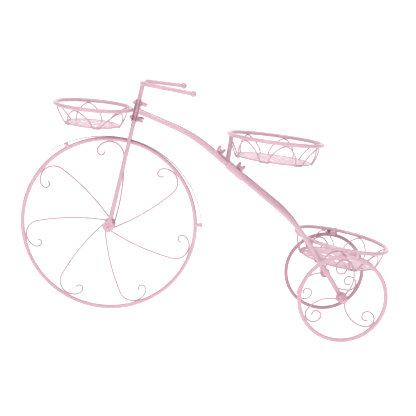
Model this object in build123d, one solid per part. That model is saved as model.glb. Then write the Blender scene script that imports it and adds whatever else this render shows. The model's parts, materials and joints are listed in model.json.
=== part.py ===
from build123d import *
import os
from math import cos, degrees, hypot, radians, sin, sqrt

# Bicycle plant stand: one big front wheel, two small rear wheels, three wire
# baskets and a twin tube frame, all of bent and welded steel bar.
# Lengths are in millimetres. X runs from the front wheel to the rear wheels,
# Z is up, and the ground under the middle of the stand is the origin.

# Round bars and wires
wheel_bar = 9.0
basket_bar = 9.0
frame_bar = 11.0
stem_bar = 10.0
fork_bar = 8.0
handle_bar = 9.0
scroll_wire = 3.5
basket_wire = 3.0

# Fits between pieces
weld_gap = 0.1
bolt_fit = 0.25
thread_fit = 0.07
nut_lift = 0.3
socket_fit = 0.1
overrun = 2.0

# Wheels
front_rim_radius = 200.0
rear_rim_radius = 97.0
wheelbase = 538.0
front_hub_radius = 8.0
rear_hub_radius = 8.0
rear_hub_length = 23.0

# Front scrolls, set by hand: the bend that touches the rim, the curl and its tip
front_touch_angles = (-13.5, 42.5, 92.6, 144.0, 192.3, 242.2, 293.3)
front_root_angle = 105.7
front_lead_turn = 88.0
front_touch_bend = 32.0
front_touch_turn = 141.0
front_curl_bend = 14.0
front_curl_turn = 60.0
front_tip_bend = 8.0
front_tip_turn = 165.0

# Rear scrolls, three to a wheel, each set by hand at its own angle
near_touch_angles = (-147.0, -36.0, 94.0)
far_touch_angles = (-126.0, -22.0, 106.0)
rear_root_angle = 15.0
rear_lead_turn = 62.0
rear_touch_bend = 18.0
rear_touch_turn = 178.0
rear_curl_bend = 11.5
rear_curl_turn = 120.0
rear_tip_bend = 9.0
rear_tip_turn = 105.0

# Axles
axle_bolt = 6.0
axle_head_diameter = 10.0
axle_head_height = 4.0
axle_nut_flats = 10.0
axle_nut_height = 5.0
axle_tail = 2.0

# Fork and stem, which lean back together
rake_angle = 9.85
fork_half_spread = 20.0
fork_eye_radius = 13.0
fork_eye_thickness = 3.0
fork_joint_rise = 43.0
fork_lap = 6.0
fork_bolt = 4.0
fork_head_diameter = 7.0
fork_head_height = 2.5
fork_nut_flats = 7.0
fork_nut_height = 3.0

# Head joint: a strap in front of the stem, a plate behind it
head_lower_rise = 11.5
head_bolt_spacing = 34.5
head_strap_thickness = 2.0
head_strap_width = 16.0
head_plate_width = 22.0
head_end_margin = 8.0
head_corner = 4.0

# Handlebar
bar_rise = 47.8
bar_tilt_angle = 2.15
bar_half_width = 60.0
bar_bend = 20.0
near_grip_reach = 113.5
near_grip_angle = 6.3
far_grip_reach = 90.0
far_grip_angle = 2.3
ball_diameter = 14.0

# Fender, a thin strip in two arcs that part where it comes nearest the wheel
fender_gap = 0.15
fender_touch_angle = 84.0
fender_front_ease = 35.6
fender_rear_ease = 11.5
fender_width = 12.0
fender_thickness = 1.5
fender_front_turn = 40.5
fender_rear_turn = -79.0
spacer_diameter = 9.0
spacer_angles = (120.9, 4.3)

# Frame tubes: straight runs from the head over a crest and a knee
head_half_gap = 6.5
crest_back = 122.4
crest_half_width = 20.0
crest_drop = 41.4
knee_ahead = 109.4
knee_half_width = 68.0
knee_rise = 149.9
frame_bend = 320.0
collar_diameter = 16.0
collar_length = 45.0
spigot_diameter = 6.0
spigot_length = 24.0
leg_eye_radius = 12.5
leg_eye_thickness = 3.0
leg_eye_lap = 2.0

# Middle plate, cross straps and basket post
plate_along = 102.6
plate_length = 71.0
plate_width = 36.0
plate_thickness = 3.0
plate_bolt_reach = 29.8
cross_strap_width = 20.0
cross_strap_thickness = 3.0
post_foot_diameter = 13.0
post_top_diameter = 9.5
post_inset = 6.8
post_foot_back = 3.8
post_rise = 58.9
post_lean = 3.3

# Baskets
front_base_radius = 59.0
front_basket_flare = 26.0
front_basket_depth = 41.0
front_rim_drop = 0.5
front_basket_pitch_angle = 1.3
front_basket_lean_angle = 4.1
front_hoop_count = 5
front_hoop_angle = -109.5
front_foot_angle = 14.0
base_radius = 87.0
basket_flare = 20.5
basket_depth = 45.8
hoop_count = 7
hoop_angle = -135.0
foot_angle = 11.5
middle_basket_pitch_angle = 2.2
rear_basket_setback = 6.5
rear_basket_pitch_angle = 5.9
hoop_crown = 12.0
foot_slope_angle = 35.0
crown_slope_angle = 65.0
rear_hoop_angle = -104.0
foot_rise = 0.5

# Pierced basket floors
floor_thickness = 1.2
centre_hole_diameter = 16.0
petal_length = 26.0
petal_width = 12.0
petal_margin = 8.0
rim_hole_diameter = 9.0
rim_hole_margin = 6.0
front_petal_count = 5
petal_count = 7

# Bolts that carry wing nuts
clamp_bolt = 5.0
clamp_head_diameter = 9.0
clamp_head_height = 5.0
clamp_tail = 2.0
side_bolt = 4.0
side_head_diameter = 7.5
side_head_height = 3.0
side_bolt_room = 0.3

# Wing nuts
wing_hub_diameter = 10.0
wing_hub_height = 5.5
wing_span = 20.0
wing_height = 13.5
wing_thickness = 3.0
wing_tip_radius = 3.8
wing_root_radius = 3.2
side_wing_hub_diameter = 8.5
side_wing_hub_height = 4.5
side_wing_span = 18.0
side_wing_height = 11.5
side_wing_tip_radius = 3.2
side_wing_root_radius = 2.6
upper_wing_turn = 18.0
lower_wing_turn = 30.0

# Side plates that clamp the rear basket to the wheels
side_plate_length = 26.0
side_plate_height = 20.0
side_plate_thickness = 2.0
side_plate_corner = 3.0
side_washer_diameter = 15.0
side_clamp_back = 2.5

# Heights and places that follow from the sizes above
front_basket_radius = front_base_radius + front_basket_flare
basket_radius = base_radius + basket_flare
fender_touch_radius = front_rim_radius + wheel_bar / 2 + fender_gap + fender_thickness / 2
fork_joint_height = front_rim_radius + fork_joint_rise
head_lower_height = fork_joint_height + head_lower_rise
head_upper_height = head_lower_height + head_bolt_spacing
head_height = (head_lower_height + head_upper_height) / 2
bar_height = head_upper_height + bar_rise
front_axle_height = front_rim_radius + wheel_bar / 2
rear_axle_height = rear_rim_radius + wheel_bar / 2
half_track = basket_radius
rear_basket_x = wheelbase + rear_basket_setback
wheel_top = rear_axle_height + rear_rim_radius + wheel_bar / 2
side_bolt_height = wheel_top + side_bolt_room + side_bolt / 2
rear_basket_height = side_bolt_height + side_bolt / 2 + side_bolt_room + basket_bar / 2
front_end = front_rim_radius + wheel_bar / 2
rear_end = rear_basket_x + basket_radius * cos(radians(rear_basket_pitch_angle)) + basket_bar / 2
middle_x = (rear_end - front_end) / 2
ALONG_Y = (90, 0, 0)
BASE = (Align.CENTER, Align.CENTER, Align.MIN)


def spot(x, y, z):
    """A point, with x counted back from the front axle."""
    return Vector(x - middle_x, y, z)


def polar(radius, angle):
    """A point of a flat drawing at a radius and an angle."""
    return Vector(radius * cos(radians(angle)), radius * sin(radians(angle)))


def rod(start, end, stock):
    """A straight round bar between two points."""
    run = end - start
    return Plane(origin=start, z_dir=run) * Cylinder(stock / 2, run.length, align=BASE)


def bent_bar(path, stock):
    """A round bar that follows a path of lines and arcs."""
    section = Plane(origin=path @ 0, z_dir=path % 0) * Circle(stock / 2)
    return sweep(section, path=path)


def group(pieces):
    """Separate solids kept together under one name."""
    return Compound([solid for piece in pieces for solid in piece.solids()])


# Directions of the leaning stem, and points given from the front axle
stem_up = Vector(sin(radians(rake_angle)), 0, cos(radians(rake_angle)))
stem_back = Vector(cos(radians(rake_angle)), 0, -sin(radians(rake_angle)))
front_axle = spot(0, 0, front_axle_height)


def on_stem(height, back=0, side=0):
    """A point by its height up the stem, its distance behind it and its side."""
    return front_axle + stem_up * height + stem_back * back + Vector(0, side, 0)


def stem_plane(height, back, side=0):
    """A plane square to the bolts of the stem, facing back."""
    return Plane(origin=on_stem(height, back, side), x_dir=(0, 1, 0), z_dir=stem_back)


# The long straight run of the frame, between its crest and its knee
tube_start_back = stem_bar / 2 + 2 * weld_gap + head_strap_thickness
tube_start = on_stem(head_height, tube_start_back)
crest_x = tube_start.X + middle_x + crest_back
crest_z = tube_start.Z - crest_drop
knee_x = wheelbase - knee_ahead
knee_z = rear_axle_height + knee_rise
run_length = hypot(knee_x - crest_x, crest_z - knee_z)
run_down = Vector((knee_x - crest_x) / run_length, 0, (knee_z - crest_z) / run_length)
run_up = Vector(-run_down.Z, 0, run_down.X)
run_start = spot(crest_x, 0, crest_z)


def on_run(along, above=0, side=0):
    """A point by its distance down the run, its height over it and its side."""
    return run_start + run_down * along + run_up * above + Vector(0, side, 0)


def run_half_width(along):
    """Half the distance between the two tubes at a place on the run."""
    return crest_half_width + (knee_half_width - crest_half_width) * along / run_length


def run_plane(along, above, side=0):
    """A plane lying on the slope of the run, with its x down the run."""
    return Plane(origin=on_run(along, above, side), x_dir=run_down, z_dir=run_up)


# Fasteners
def pan_bolt(plane, length, stock, head_diameter, head_height):
    """A bolt whose shank rises from a plane and whose head lies under it."""
    shank = plane * Cylinder(stock / 2, length, align=BASE)
    head = plane * Pos(0, 0, -head_height) * Cylinder(head_diameter / 2, head_height, align=BASE)
    return shank + head


def hex_nut(plane, stock, flats, height):
    """A plain hexagon nut that stands on a plane."""
    body = extrude(RegularPolygon(flats / 2, 6, major_radius=False), amount=height)
    bore = Cylinder(stock / 2 + thread_fit, height + overrun)
    return plane * (body - Pos(0, 0, height / 2) * bore)


def wing_nut(stock, hub_diameter, hub_height, span, height, tip_radius, root_radius):
    """A wing nut standing on the flat, with its wings along x."""
    hub = Cylinder(hub_diameter / 2, hub_height, align=BASE)
    root = Pos((hub_diameter - root_radius) / 2, root_radius) * Circle(root_radius)
    tip = Pos(span / 2 - tip_radius, height - tip_radius) * Circle(tip_radius)
    outline = make_hull(root.edges() + tip.edges())
    wing = extrude(Plane.XZ * outline, amount=wing_thickness / 2, both=True)
    bore = Cylinder(stock / 2 + thread_fit, height + overrun)
    body = hub + wing + wing.mirror(Plane.YZ)
    return body - Pos(0, 0, height / 2) * bore


def clamp_wing_nut(plane, turn):
    """The larger wing nut, on a plane, turned about its bolt."""
    nut = wing_nut(
        clamp_bolt, wing_hub_diameter, wing_hub_height, wing_span,
        wing_height, wing_tip_radius, wing_root_radius)
    return plane * Pos(0, 0, nut_lift) * Rot(0, 0, turn) * nut


def side_wing_nut(plane, turn):
    """The smaller wing nut of the side clamps."""
    nut = wing_nut(
        side_bolt, side_wing_hub_diameter, side_wing_hub_height, side_wing_span,
        side_wing_height, side_wing_tip_radius, side_wing_root_radius)
    return plane * Pos(0, 0, nut_lift) * Rot(0, 0, turn) * nut


# Wheels
def wheel_rim(centre, radius):
    """A round bar bent to a ring that stands on the ground."""
    return Pos(centre) * Rot(*ALONG_Y) * Torus(radius, wheel_bar / 2)


def scroll(root_radius, root_angle, rim_radius, touch_angle, lead_turn, bends):
    """A flat scrolled wire: a long leg, a bend against the rim and a curl."""
    touch_radius = rim_radius - wheel_bar / 2 - scroll_wire / 2 - weld_gap
    first_bend = bends[0][0]
    bend_centre = polar(touch_radius - first_bend, touch_angle)
    heading = touch_angle + 90 - lead_turn
    leg_end = bend_centre + polar(first_bend, heading - 90)
    root = polar(root_radius, root_angle)
    chord = leg_end - root
    chord_angle = chord.get_signed_angle(Vector(1, 0), Vector(0, 0, -1))
    root_heading = polar(1, 2 * chord_angle - heading)
    edges = [TangentArc(root, leg_end, tangent=root_heading)]
    for radius, turn in bends:
        last = edges[-1]
        edges.append(JernArc(last @ 1, last % 1, radius, turn))
    return bent_bar(Wire([edge.edge() for edge in edges]), scroll_wire)


def front_spokes():
    """The scrolls of the front wheel, welded round its hub."""
    root_radius = front_hub_radius + weld_gap + scroll_wire / 2
    bends = (
        (front_touch_bend, front_touch_turn),
        (front_curl_bend, front_curl_turn),
        (front_tip_bend, front_tip_turn))
    one = scroll(
        root_radius, -front_root_angle, front_rim_radius, 0, front_lead_turn, bends)
    turned = [Rot(0, 0, angle) * one for angle in front_touch_angles]
    return group([Pos(front_axle) * Rot(*ALONG_Y) * piece for piece in turned])


def rear_spokes(centre, touch_angles):
    """The three scrolls of a rear wheel, trimmed to its hub."""
    bends = (
        (rear_touch_bend, rear_touch_turn),
        (rear_curl_bend, rear_curl_turn),
        (rear_tip_bend, rear_tip_turn))
    hub_room = Cylinder(rear_hub_radius + weld_gap, rear_hub_length)
    pieces = []
    for angle in touch_angles:
        wire = scroll(
            rear_hub_radius, angle - rear_root_angle, rear_rim_radius,
            angle, rear_lead_turn, bends)
        pieces.append(Pos(centre) * Rot(*ALONG_Y) * (wire - hub_room))
    return group(pieces)


def hub_barrel(centre, radius, length):
    """A turned hub with a bore for its axle bolt."""
    barrel = Cylinder(radius, length) - Cylinder(axle_bolt / 2 + bolt_fit, length + overrun)
    return Pos(centre) * Rot(*ALONG_Y) * barrel


# Fork, stem and handlebar
fork_eye_side = fork_half_spread
front_hub_length = 2 * (fork_eye_side - fork_eye_thickness / 2 - weld_gap)
fork_top_side = stem_bar / 2 + weld_gap + fork_bar / 2
fork_flare = (fork_half_spread - fork_top_side) / (fork_joint_height + fork_lap)
fork_seat_side = (
    fork_top_side + fork_bar / 2 + weld_gap + fork_flare * (fork_lap + fork_head_diameter))
fork_bolt_plane = Plane(
    origin=on_stem(fork_joint_height, 0, -fork_seat_side), x_dir=(1, 0, 0), z_dir=(0, 1, 0))


def fork_leg(side):
    """A fork leg with a flat eye at the axle and a bolted lap at the stem."""
    foot = on_stem(0, 0, side * fork_eye_side)
    top = on_stem(fork_joint_height + fork_lap, 0, side * fork_top_side)
    lower = foot + (top - foot).normalized() * (fork_eye_radius - fork_lap / 2)
    eye = Pos(foot) * Rot(*ALONG_Y) * Cylinder(fork_eye_radius, fork_eye_thickness)
    hole = Pos(foot) * Rot(*ALONG_Y) * Cylinder(axle_bolt / 2 + bolt_fit, fork_bar + overrun)
    bolt_hole = fork_bolt_plane * Cylinder(fork_bolt / 2 + bolt_fit, 4 * fork_half_spread)
    return rod(lower, top, fork_bar) + eye - hole - bolt_hole


crossbar_run = Vector(0, cos(radians(bar_tilt_angle)), sin(radians(bar_tilt_angle)))


def handlebar_path():
    """The middle line of the handlebar, from the near grip to the far one."""
    centre = on_stem(bar_height)
    near_corner = centre - crossbar_run * bar_half_width
    far_corner = centre + crossbar_run * bar_half_width
    near_drop = radians(near_grip_angle)
    far_drop = radians(far_grip_angle)
    near_tip = near_corner + Vector(cos(near_drop), 0, -sin(near_drop)) * near_grip_reach
    far_tip = far_corner + Vector(cos(far_drop), 0, -sin(far_drop)) * far_grip_reach
    return FilletPolyline(near_tip, near_corner, far_corner, far_tip, radius=bar_bend)


def grip_ball(tip, outward):
    """A ball pressed over the end of the handlebar."""
    ball = Pos(tip) * Sphere(ball_diameter / 2)
    socket = rod(tip - outward * (ball_diameter + weld_gap), tip, handle_bar + 2 * weld_gap)
    return ball - Pos(outward * weld_gap) * socket


def stem_tube():
    """The upright between the fork and the handlebar, drilled for its bolts."""
    bottom = on_stem(fork_joint_height - fork_lap)
    top = on_stem(bar_height)
    crossbar = rod(
        top - crossbar_run * stem_bar, top + crossbar_run * stem_bar,
        handle_bar + 2 * weld_gap)
    tube = rod(bottom, top, stem_bar) - crossbar
    for height in head_bolt_heights:
        tube -= stem_plane(height, 0) * Cylinder(clamp_bolt / 2 + bolt_fit, 2 * stem_bar)
    side_hole = Cylinder(fork_bolt / 2 + bolt_fit, 4 * fork_half_spread)
    return tube - fork_bolt_plane * side_hole


# Head joint
head_bolt_heights = (head_upper_height, head_lower_height)
head_flat_length = head_bolt_spacing + 2 * head_end_margin
strap_back = -stem_bar / 2 - weld_gap - head_strap_thickness / 2
plate_back = stem_bar / 2 + weld_gap + head_strap_thickness / 2


def head_flat(back, width):
    """A drilled flat that the head bolts hold against the stem."""
    outline = RectangleRounded(width, head_flat_length, head_corner)
    plane = stem_plane(head_height, back)
    flat = extrude(plane * outline, amount=head_strap_thickness / 2, both=True)
    for height in head_bolt_heights:
        hole = Cylinder(clamp_bolt / 2 + bolt_fit, head_strap_thickness + overrun)
        flat -= stem_plane(height, back) * hole
    return flat


def head_bolts():
    """The two bolts of the head joint, with their heads in front."""
    back = strap_back - head_strap_thickness / 2
    grip = 2 * head_strap_thickness + stem_bar + 2 * weld_gap
    length = grip + nut_lift + wing_hub_height + clamp_tail
    return group([
        pan_bolt(stem_plane(height, back), length, clamp_bolt, clamp_head_diameter, clamp_head_height)
        for height in head_bolt_heights])


# Fender
fender_arcs = (
    (fender_front_ease, fender_front_turn),
    (fender_rear_ease, fender_rear_turn))


def fender_arc_centre(ease):
    """The centre of a fender arc that is larger than the wheel by its ease."""
    direction = polar(ease, fender_touch_angle)
    return front_axle - Vector(direction.X, 0, direction.Y)


def fender_arc(ease, turn):
    """One arc of the strip, bent away from where it comes nearest the wheel."""
    outer = fender_touch_radius + ease + fender_thickness / 2
    inner = fender_touch_radius + ease - fender_thickness / 2
    end = fender_touch_angle + turn
    outline = make_face([
        CenterArc((0, 0), outer, fender_touch_angle, turn).edge(),
        Line(polar(outer, end), polar(inner, end)).edge(),
        CenterArc((0, 0), inner, fender_touch_angle, turn).edge(),
        Line(polar(outer, fender_touch_angle), polar(inner, fender_touch_angle)).edge()])
    strip = extrude(outline, amount=fender_width / 2, both=True)
    return Pos(fender_arc_centre(ease)) * Rot(*ALONG_Y) * strip


def fender():
    """A thin strip bent over the front wheel."""
    front, rear = [fender_arc(ease, turn) for ease, turn in fender_arcs]
    return front + rear


def fender_spacers():
    """Two short posts that hold the fender off the rim."""
    rim_room = Pos(front_axle) * Rot(*ALONG_Y) * Torus(front_rim_radius, wheel_bar / 2 + weld_gap)
    posts = []
    for angle, (ease, turn) in zip(spacer_angles, fender_arcs):
        direction = Vector(cos(radians(angle)), 0, sin(radians(angle)))
        start = front_axle + direction * front_rim_radius
        end = front_axle + direction * (fender_touch_radius + ease)
        inner = fender_touch_radius + ease - fender_thickness / 2 - weld_gap
        room = Cylinder(inner, spacer_diameter + fender_width)
        under_fender = Pos(fender_arc_centre(ease)) * Rot(*ALONG_Y) * room
        posts.append((rod(start, end, spacer_diameter) & under_fender) - rim_room)
    return group(posts)


# Frame tubes
eye_side = half_track - rear_hub_length / 2 - weld_gap - leg_eye_thickness / 2


def frame_points(side):
    """The corners of one frame tube, on the near or the far side."""
    return (
        tube_start + Vector(0, side * head_half_gap, 0),
        spot(crest_x, side * crest_half_width, crest_z),
        spot(knee_x, side * knee_half_width, knee_z),
        spot(wheelbase, side * eye_side, rear_axle_height))


def joint_point(side):
    """Where the front and rear halves of a frame tube meet."""
    return on_run(plate_along, 0, side * run_half_width(plate_along))


def front_frame_tube(side):
    """The front half of a frame tube, with a spigot at its lower end."""
    start, crest, knee, foot = frame_points(side)
    end = joint_point(side)
    down = (knee - crest).normalized()
    tube = bent_bar(FilletPolyline(start, crest, end, radius=frame_bend), frame_bar)
    plate_room = stem_plane(head_height, tube_start_back) * Cylinder(
        head_plate_width, head_plate_width, align=(Align.CENTER, Align.CENTER, Align.MAX))
    return tube - plate_room + rod(end, end + down * spigot_length, spigot_diameter)


def rear_frame_tube(side):
    """The rear half of a frame tube, from its swollen socket to the wheel eye."""
    start, crest, knee, foot = frame_points(side)
    down = (knee - crest).normalized()
    top = joint_point(side) + down * weld_gap
    leg = (foot - knee).normalized()
    end = foot - leg * (leg_eye_radius - leg_eye_lap)
    tube = bent_bar(FilletPolyline(top, knee, end, radius=frame_bend), frame_bar)
    collar = rod(top, top + down * collar_length, collar_diameter)
    socket_end = top + down * (spigot_length + socket_fit)
    socket = rod(top - down * overrun, socket_end, spigot_diameter + 2 * socket_fit)
    eye = Pos(foot) * Rot(*ALONG_Y) * Cylinder(leg_eye_radius, leg_eye_thickness)
    hole = Pos(foot) * Rot(*ALONG_Y) * Cylinder(axle_bolt / 2 + bolt_fit, 2 * frame_bar)
    hub_room = Pos(foot + Vector(0, side * (leg_eye_thickness / 2), 0)) * Rot(90 * side, 0, 0)
    outer_room = hub_room * Cylinder(
        2 * leg_eye_radius, 2 * frame_bar, align=(Align.CENTER, Align.CENTER, Align.MAX))
    return tube + collar - socket - outer_room + eye - hole


# Middle plate and what it joins
bolt_alongs = (plate_along - plate_bolt_reach, plate_along + plate_bolt_reach)
strap_above = frame_bar / 2 - cross_strap_thickness / 2
plate_above = frame_bar / 2 + weld_gap + plate_thickness / 2


def cross_strap(along, tube_size):
    """A flat welded between the two tubes, drilled in the middle."""
    width = 2 * run_half_width(along - cross_strap_width / 2)
    strap = run_plane(along, strap_above) * Box(cross_strap_width, width, cross_strap_thickness)
    for side in (-1, 1):
        upper = on_run(along - plate_length, 0, side * run_half_width(along - plate_length))
        lower = on_run(along + plate_length, 0, side * run_half_width(along + plate_length))
        strap -= rod(upper, lower, tube_size + 2 * weld_gap)
    hole = Cylinder(clamp_bolt / 2 + bolt_fit, cross_strap_thickness + overrun)
    return strap - run_plane(along, strap_above) * hole


def middle_plate():
    """The plate that bolts the frame halves and the middle basket together."""
    plate = run_plane(plate_along, plate_above) * Box(plate_length, plate_width, plate_thickness)
    for along in bolt_alongs:
        hole = Cylinder(clamp_bolt / 2 + bolt_fit, plate_thickness + overrun)
        plate -= run_plane(along, plate_above) * hole
    return plate


def middle_bolts():
    """The two bolts of the middle plate, with their heads below."""
    start = frame_bar / 2 - cross_strap_thickness
    length = (
        cross_strap_thickness + plate_thickness + weld_gap
        + nut_lift + wing_hub_height + clamp_tail)
    return group([
        pan_bolt(run_plane(along, start), length, clamp_bolt, clamp_head_diameter, clamp_head_height)
        for along in bolt_alongs])


# Baskets
foot_reach = (basket_wire + weld_gap) * cos(radians(foot_slope_angle))
foot_drop = (basket_wire + weld_gap) * sin(radians(foot_slope_angle))
crown_seat = basket_bar / 2 + basket_wire / 2 + weld_gap
crown_drop = crown_seat * sin(radians(crown_slope_angle))
crown_inset = crown_seat * cos(radians(crown_slope_angle))

front_rim_back = stem_bar / 2 + head_strap_thickness + 2 * weld_gap + basket_bar / 2
front_basket_place = (
    Pos(on_stem(head_height - front_rim_drop, -front_rim_back))
    * Rot(0, front_basket_pitch_angle, 0) * Pos(-front_basket_radius, 0, 0)
    * Rot(front_basket_lean_angle, 0, 0))
post_foot_along = plate_along - post_foot_back
post_foot_above = plate_above + plate_thickness / 2 + weld_gap
post_top = on_run(post_foot_along, post_foot_above) + Vector(post_lean, 0, post_rise)
middle_basket_place = (
    Pos(post_top) * Rot(0, middle_basket_pitch_angle, 0) * Pos(basket_radius - post_inset, 0, 0))
rear_basket_place = (
    Pos(spot(rear_basket_x, 0, rear_basket_height)) * Rot(0, rear_basket_pitch_angle, 0))


def basket_rim(place, radius):
    """The round bar at the top of a basket."""
    return place * Torus(radius, basket_bar / 2)


def basket_base_ring(place, radius, depth):
    """The wire ring round the floor of a basket."""
    return place * Pos(0, 0, -depth) * Torus(radius, basket_wire / 2)


def hoop(rim_radius, ring_radius, depth, half_foot):
    """One pointed wire arch that leans out from the floor to the rim."""
    foot_radius = ring_radius + foot_reach
    half_width = foot_radius * sin(radians(half_foot))
    inset = foot_radius * cos(radians(half_foot))
    rise = depth + foot_drop - crown_drop
    lean = rim_radius - crown_inset - inset
    height = hypot(rise, lean) - foot_rise
    side_bend = (
        (half_width ** 2 + (height - hoop_crown) ** 2 - hoop_crown ** 2)
        / (2 * (half_width - hoop_crown)))
    plane = Plane(
        origin=(inset, 0, -depth - foot_drop), x_dir=(0, 1, 0), z_dir=(rise, 0, -lean))
    across = side_bend - half_width
    reach = hypot(across, height - hoop_crown)
    joint = Vector(
        -across + side_bend * across / reach,
        side_bend * (height - hoop_crown) / reach)
    mirrored = Vector(-joint.X, joint.Y)
    path = Wire([
        TangentArc((half_width, 0), joint, tangent=(0, 1)).edge(),
        ThreePointArc(joint, (0, height), mirrored).edge(),
        TangentArc((-half_width, 0), mirrored, tangent=(0, 1)).edge()])
    return bent_bar(plane * Pos(0, foot_rise) * path, basket_wire)


def basket_hoops(place, rim_radius, ring_radius, depth, count, first, gap):
    """The wavy wire of a basket: arches joined by short bows at their feet."""
    step = 360 / count
    arch = hoop(rim_radius, ring_radius, depth, (step - gap) / 2)
    foot_radius = ring_radius + foot_reach
    bow_end = gap / 2 + degrees(basket_wire / 2 / foot_radius)
    bow_line = CenterArc((0, 0), foot_radius, -bow_end, 2 * bow_end)
    bow = Pos(0, 0, -depth - foot_drop) * Rot(0, 0, step / 2) * bent_bar(bow_line, basket_wire)
    wave = arch + bow
    wire = Part()
    for number in range(count):
        wire += Rot(0, 0, first + number * step) * wave
    return place * wire


def petal_hole(distance):
    """A leaf shaped hole that points away from the centre."""
    bulge = petal_width / 2
    near = Vector(distance - petal_length / 2, 0)
    far = Vector(distance + petal_length / 2, 0)
    return make_face([
        ThreePointArc(near, (distance, bulge), far).edge(),
        ThreePointArc(near, (distance, -bulge), far).edge()])


def basket_floor(place, ring_radius, depth, petals):
    """A sheet disc pierced with a flower of leaves and round holes."""
    radius = ring_radius - basket_wire / 2 - weld_gap
    petal_at = centre_hole_diameter / 2 + petal_margin + petal_length / 2
    rim_hole_at = radius - rim_hole_margin - rim_hole_diameter / 2
    sheet = Circle(radius) - Circle(centre_hole_diameter / 2)
    sheet -= [
        Rot(0, 0, number * 360 / petals) * petal_hole(petal_at)
        for number in range(petals)]
    sheet -= [
        Rot(0, 0, number * 180 / petals) * Pos(rim_hole_at, 0) * Circle(rim_hole_diameter / 2)
        for number in range(2 * petals)]
    disc = extrude(sheet, amount=floor_thickness / 2, both=True)
    return place * Pos(0, 0, -depth) * disc


def middle_post(extra=0):
    """The tapered post between the middle plate and its basket rim."""
    foot_plane = run_plane(post_foot_along, post_foot_above)
    top_plane = Plane(origin=post_top, z_dir=post_top - foot_plane.origin)
    post = loft([
        foot_plane * Circle(post_foot_diameter / 2 + extra),
        top_plane * Circle(post_top_diameter / 2 + extra)])
    rim_room = middle_basket_place * Torus(basket_radius, basket_bar / 2 + weld_gap)
    return post - rim_room

# Side clamps between the rear wheels and the rear basket
side_reach = side_clamp_back + side_washer_diameter / 2
side_sag = basket_radius - sqrt(basket_radius ** 2 - side_reach ** 2)
side_bolt_foot = spot(rear_basket_x + side_clamp_back, 0, side_bolt_height)
outer_plate_side = half_track + basket_bar / 2 + weld_gap + side_plate_thickness / 2
inner_plate_side = (
    half_track - basket_bar / 2 - side_sag - weld_gap - side_plate_thickness / 2)


def side_plane(side, distance):
    """A plane square to a side bolt, facing away from the middle."""
    origin = side_bolt_foot + Vector(0, side * distance, 0)
    return Plane(origin=origin, x_dir=(1, 0, 0), z_dir=(0, side, 0))


def side_washer(side):
    """The washer that bears on a wheel and the basket rim from inside."""
    ring = Circle(side_washer_diameter / 2) - Circle(side_bolt / 2 + bolt_fit)
    return extrude(
        side_plane(side, inner_plate_side) * ring, amount=side_plate_thickness / 2, both=True)


def side_plate(side, distance):
    """The plate that grips a wheel and the basket rim from outside."""
    plane = side_plane(side, distance)
    outline = RectangleRounded(side_plate_length, side_plate_height, side_plate_corner)
    plate = extrude(plane * outline, amount=side_plate_thickness / 2, both=True)
    hole = Cylinder(side_bolt / 2 + bolt_fit, side_plate_thickness + overrun)
    return plate - plane * hole


def side_bolt_piece(side):
    """The bolt of a side clamp, with its head towards the middle."""
    start = inner_plate_side - side_plate_thickness / 2
    grip = outer_plate_side + side_plate_thickness / 2 - start
    length = grip + nut_lift + side_wing_hub_height + clamp_tail
    return pan_bolt(side_plane(side, start), length, side_bolt, side_head_diameter, side_head_height)


def axle_plane(x, height, side, distance):
    """A plane square to an axle, facing away from the middle of the stand."""
    return Plane(
        origin=spot(x, side * distance, height), x_dir=(1, 0, 0), z_dir=(0, side, 0))


def rear_axle_bolt(side):
    """The bolt of a rear wheel, with its head inside the frame leg."""
    start = eye_side - leg_eye_thickness / 2
    length = leg_eye_thickness + weld_gap + rear_hub_length + axle_nut_height + axle_tail
    plane = axle_plane(wheelbase, rear_axle_height, side, start)
    return pan_bolt(plane, length, axle_bolt, axle_head_diameter, axle_head_height)


def rear_axle_nut(side):
    """The nut outside a rear hub."""
    end = half_track + rear_hub_length / 2
    plane = axle_plane(wheelbase, rear_axle_height, side, end)
    return hex_nut(plane, axle_bolt, axle_nut_flats, axle_nut_height)


near_hub = spot(wheelbase, -half_track, rear_axle_height)
far_hub = spot(wheelbase, half_track, rear_axle_height)
fork_end = fork_eye_side + fork_eye_thickness / 2
front_axle_length = 2 * fork_end + axle_nut_height + axle_tail
front_head_plane = Plane(
    origin=front_axle - Vector(0, fork_end, 0), x_dir=(1, 0, 0), z_dir=(0, 1, 0))
front_nut_plane = Plane(
    origin=front_axle + Vector(0, fork_end, 0), x_dir=(1, 0, 0), z_dir=(0, 1, 0))
fork_nut_plane = fork_bolt_plane.offset(2 * fork_seat_side)
handlebar_line = handlebar_path()
near_grip_out = (handlebar_line % 0) * -1
far_grip_out = handlebar_line % 1
clamp_nut_back = plate_back + head_strap_thickness / 2
plate_top = plate_above + plate_thickness / 2
side_nut_at = outer_plate_side + side_plate_thickness / 2
front_rim = (front_basket_radius, front_base_radius, front_basket_depth)
full_rim = (basket_radius, base_radius, basket_depth)

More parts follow.
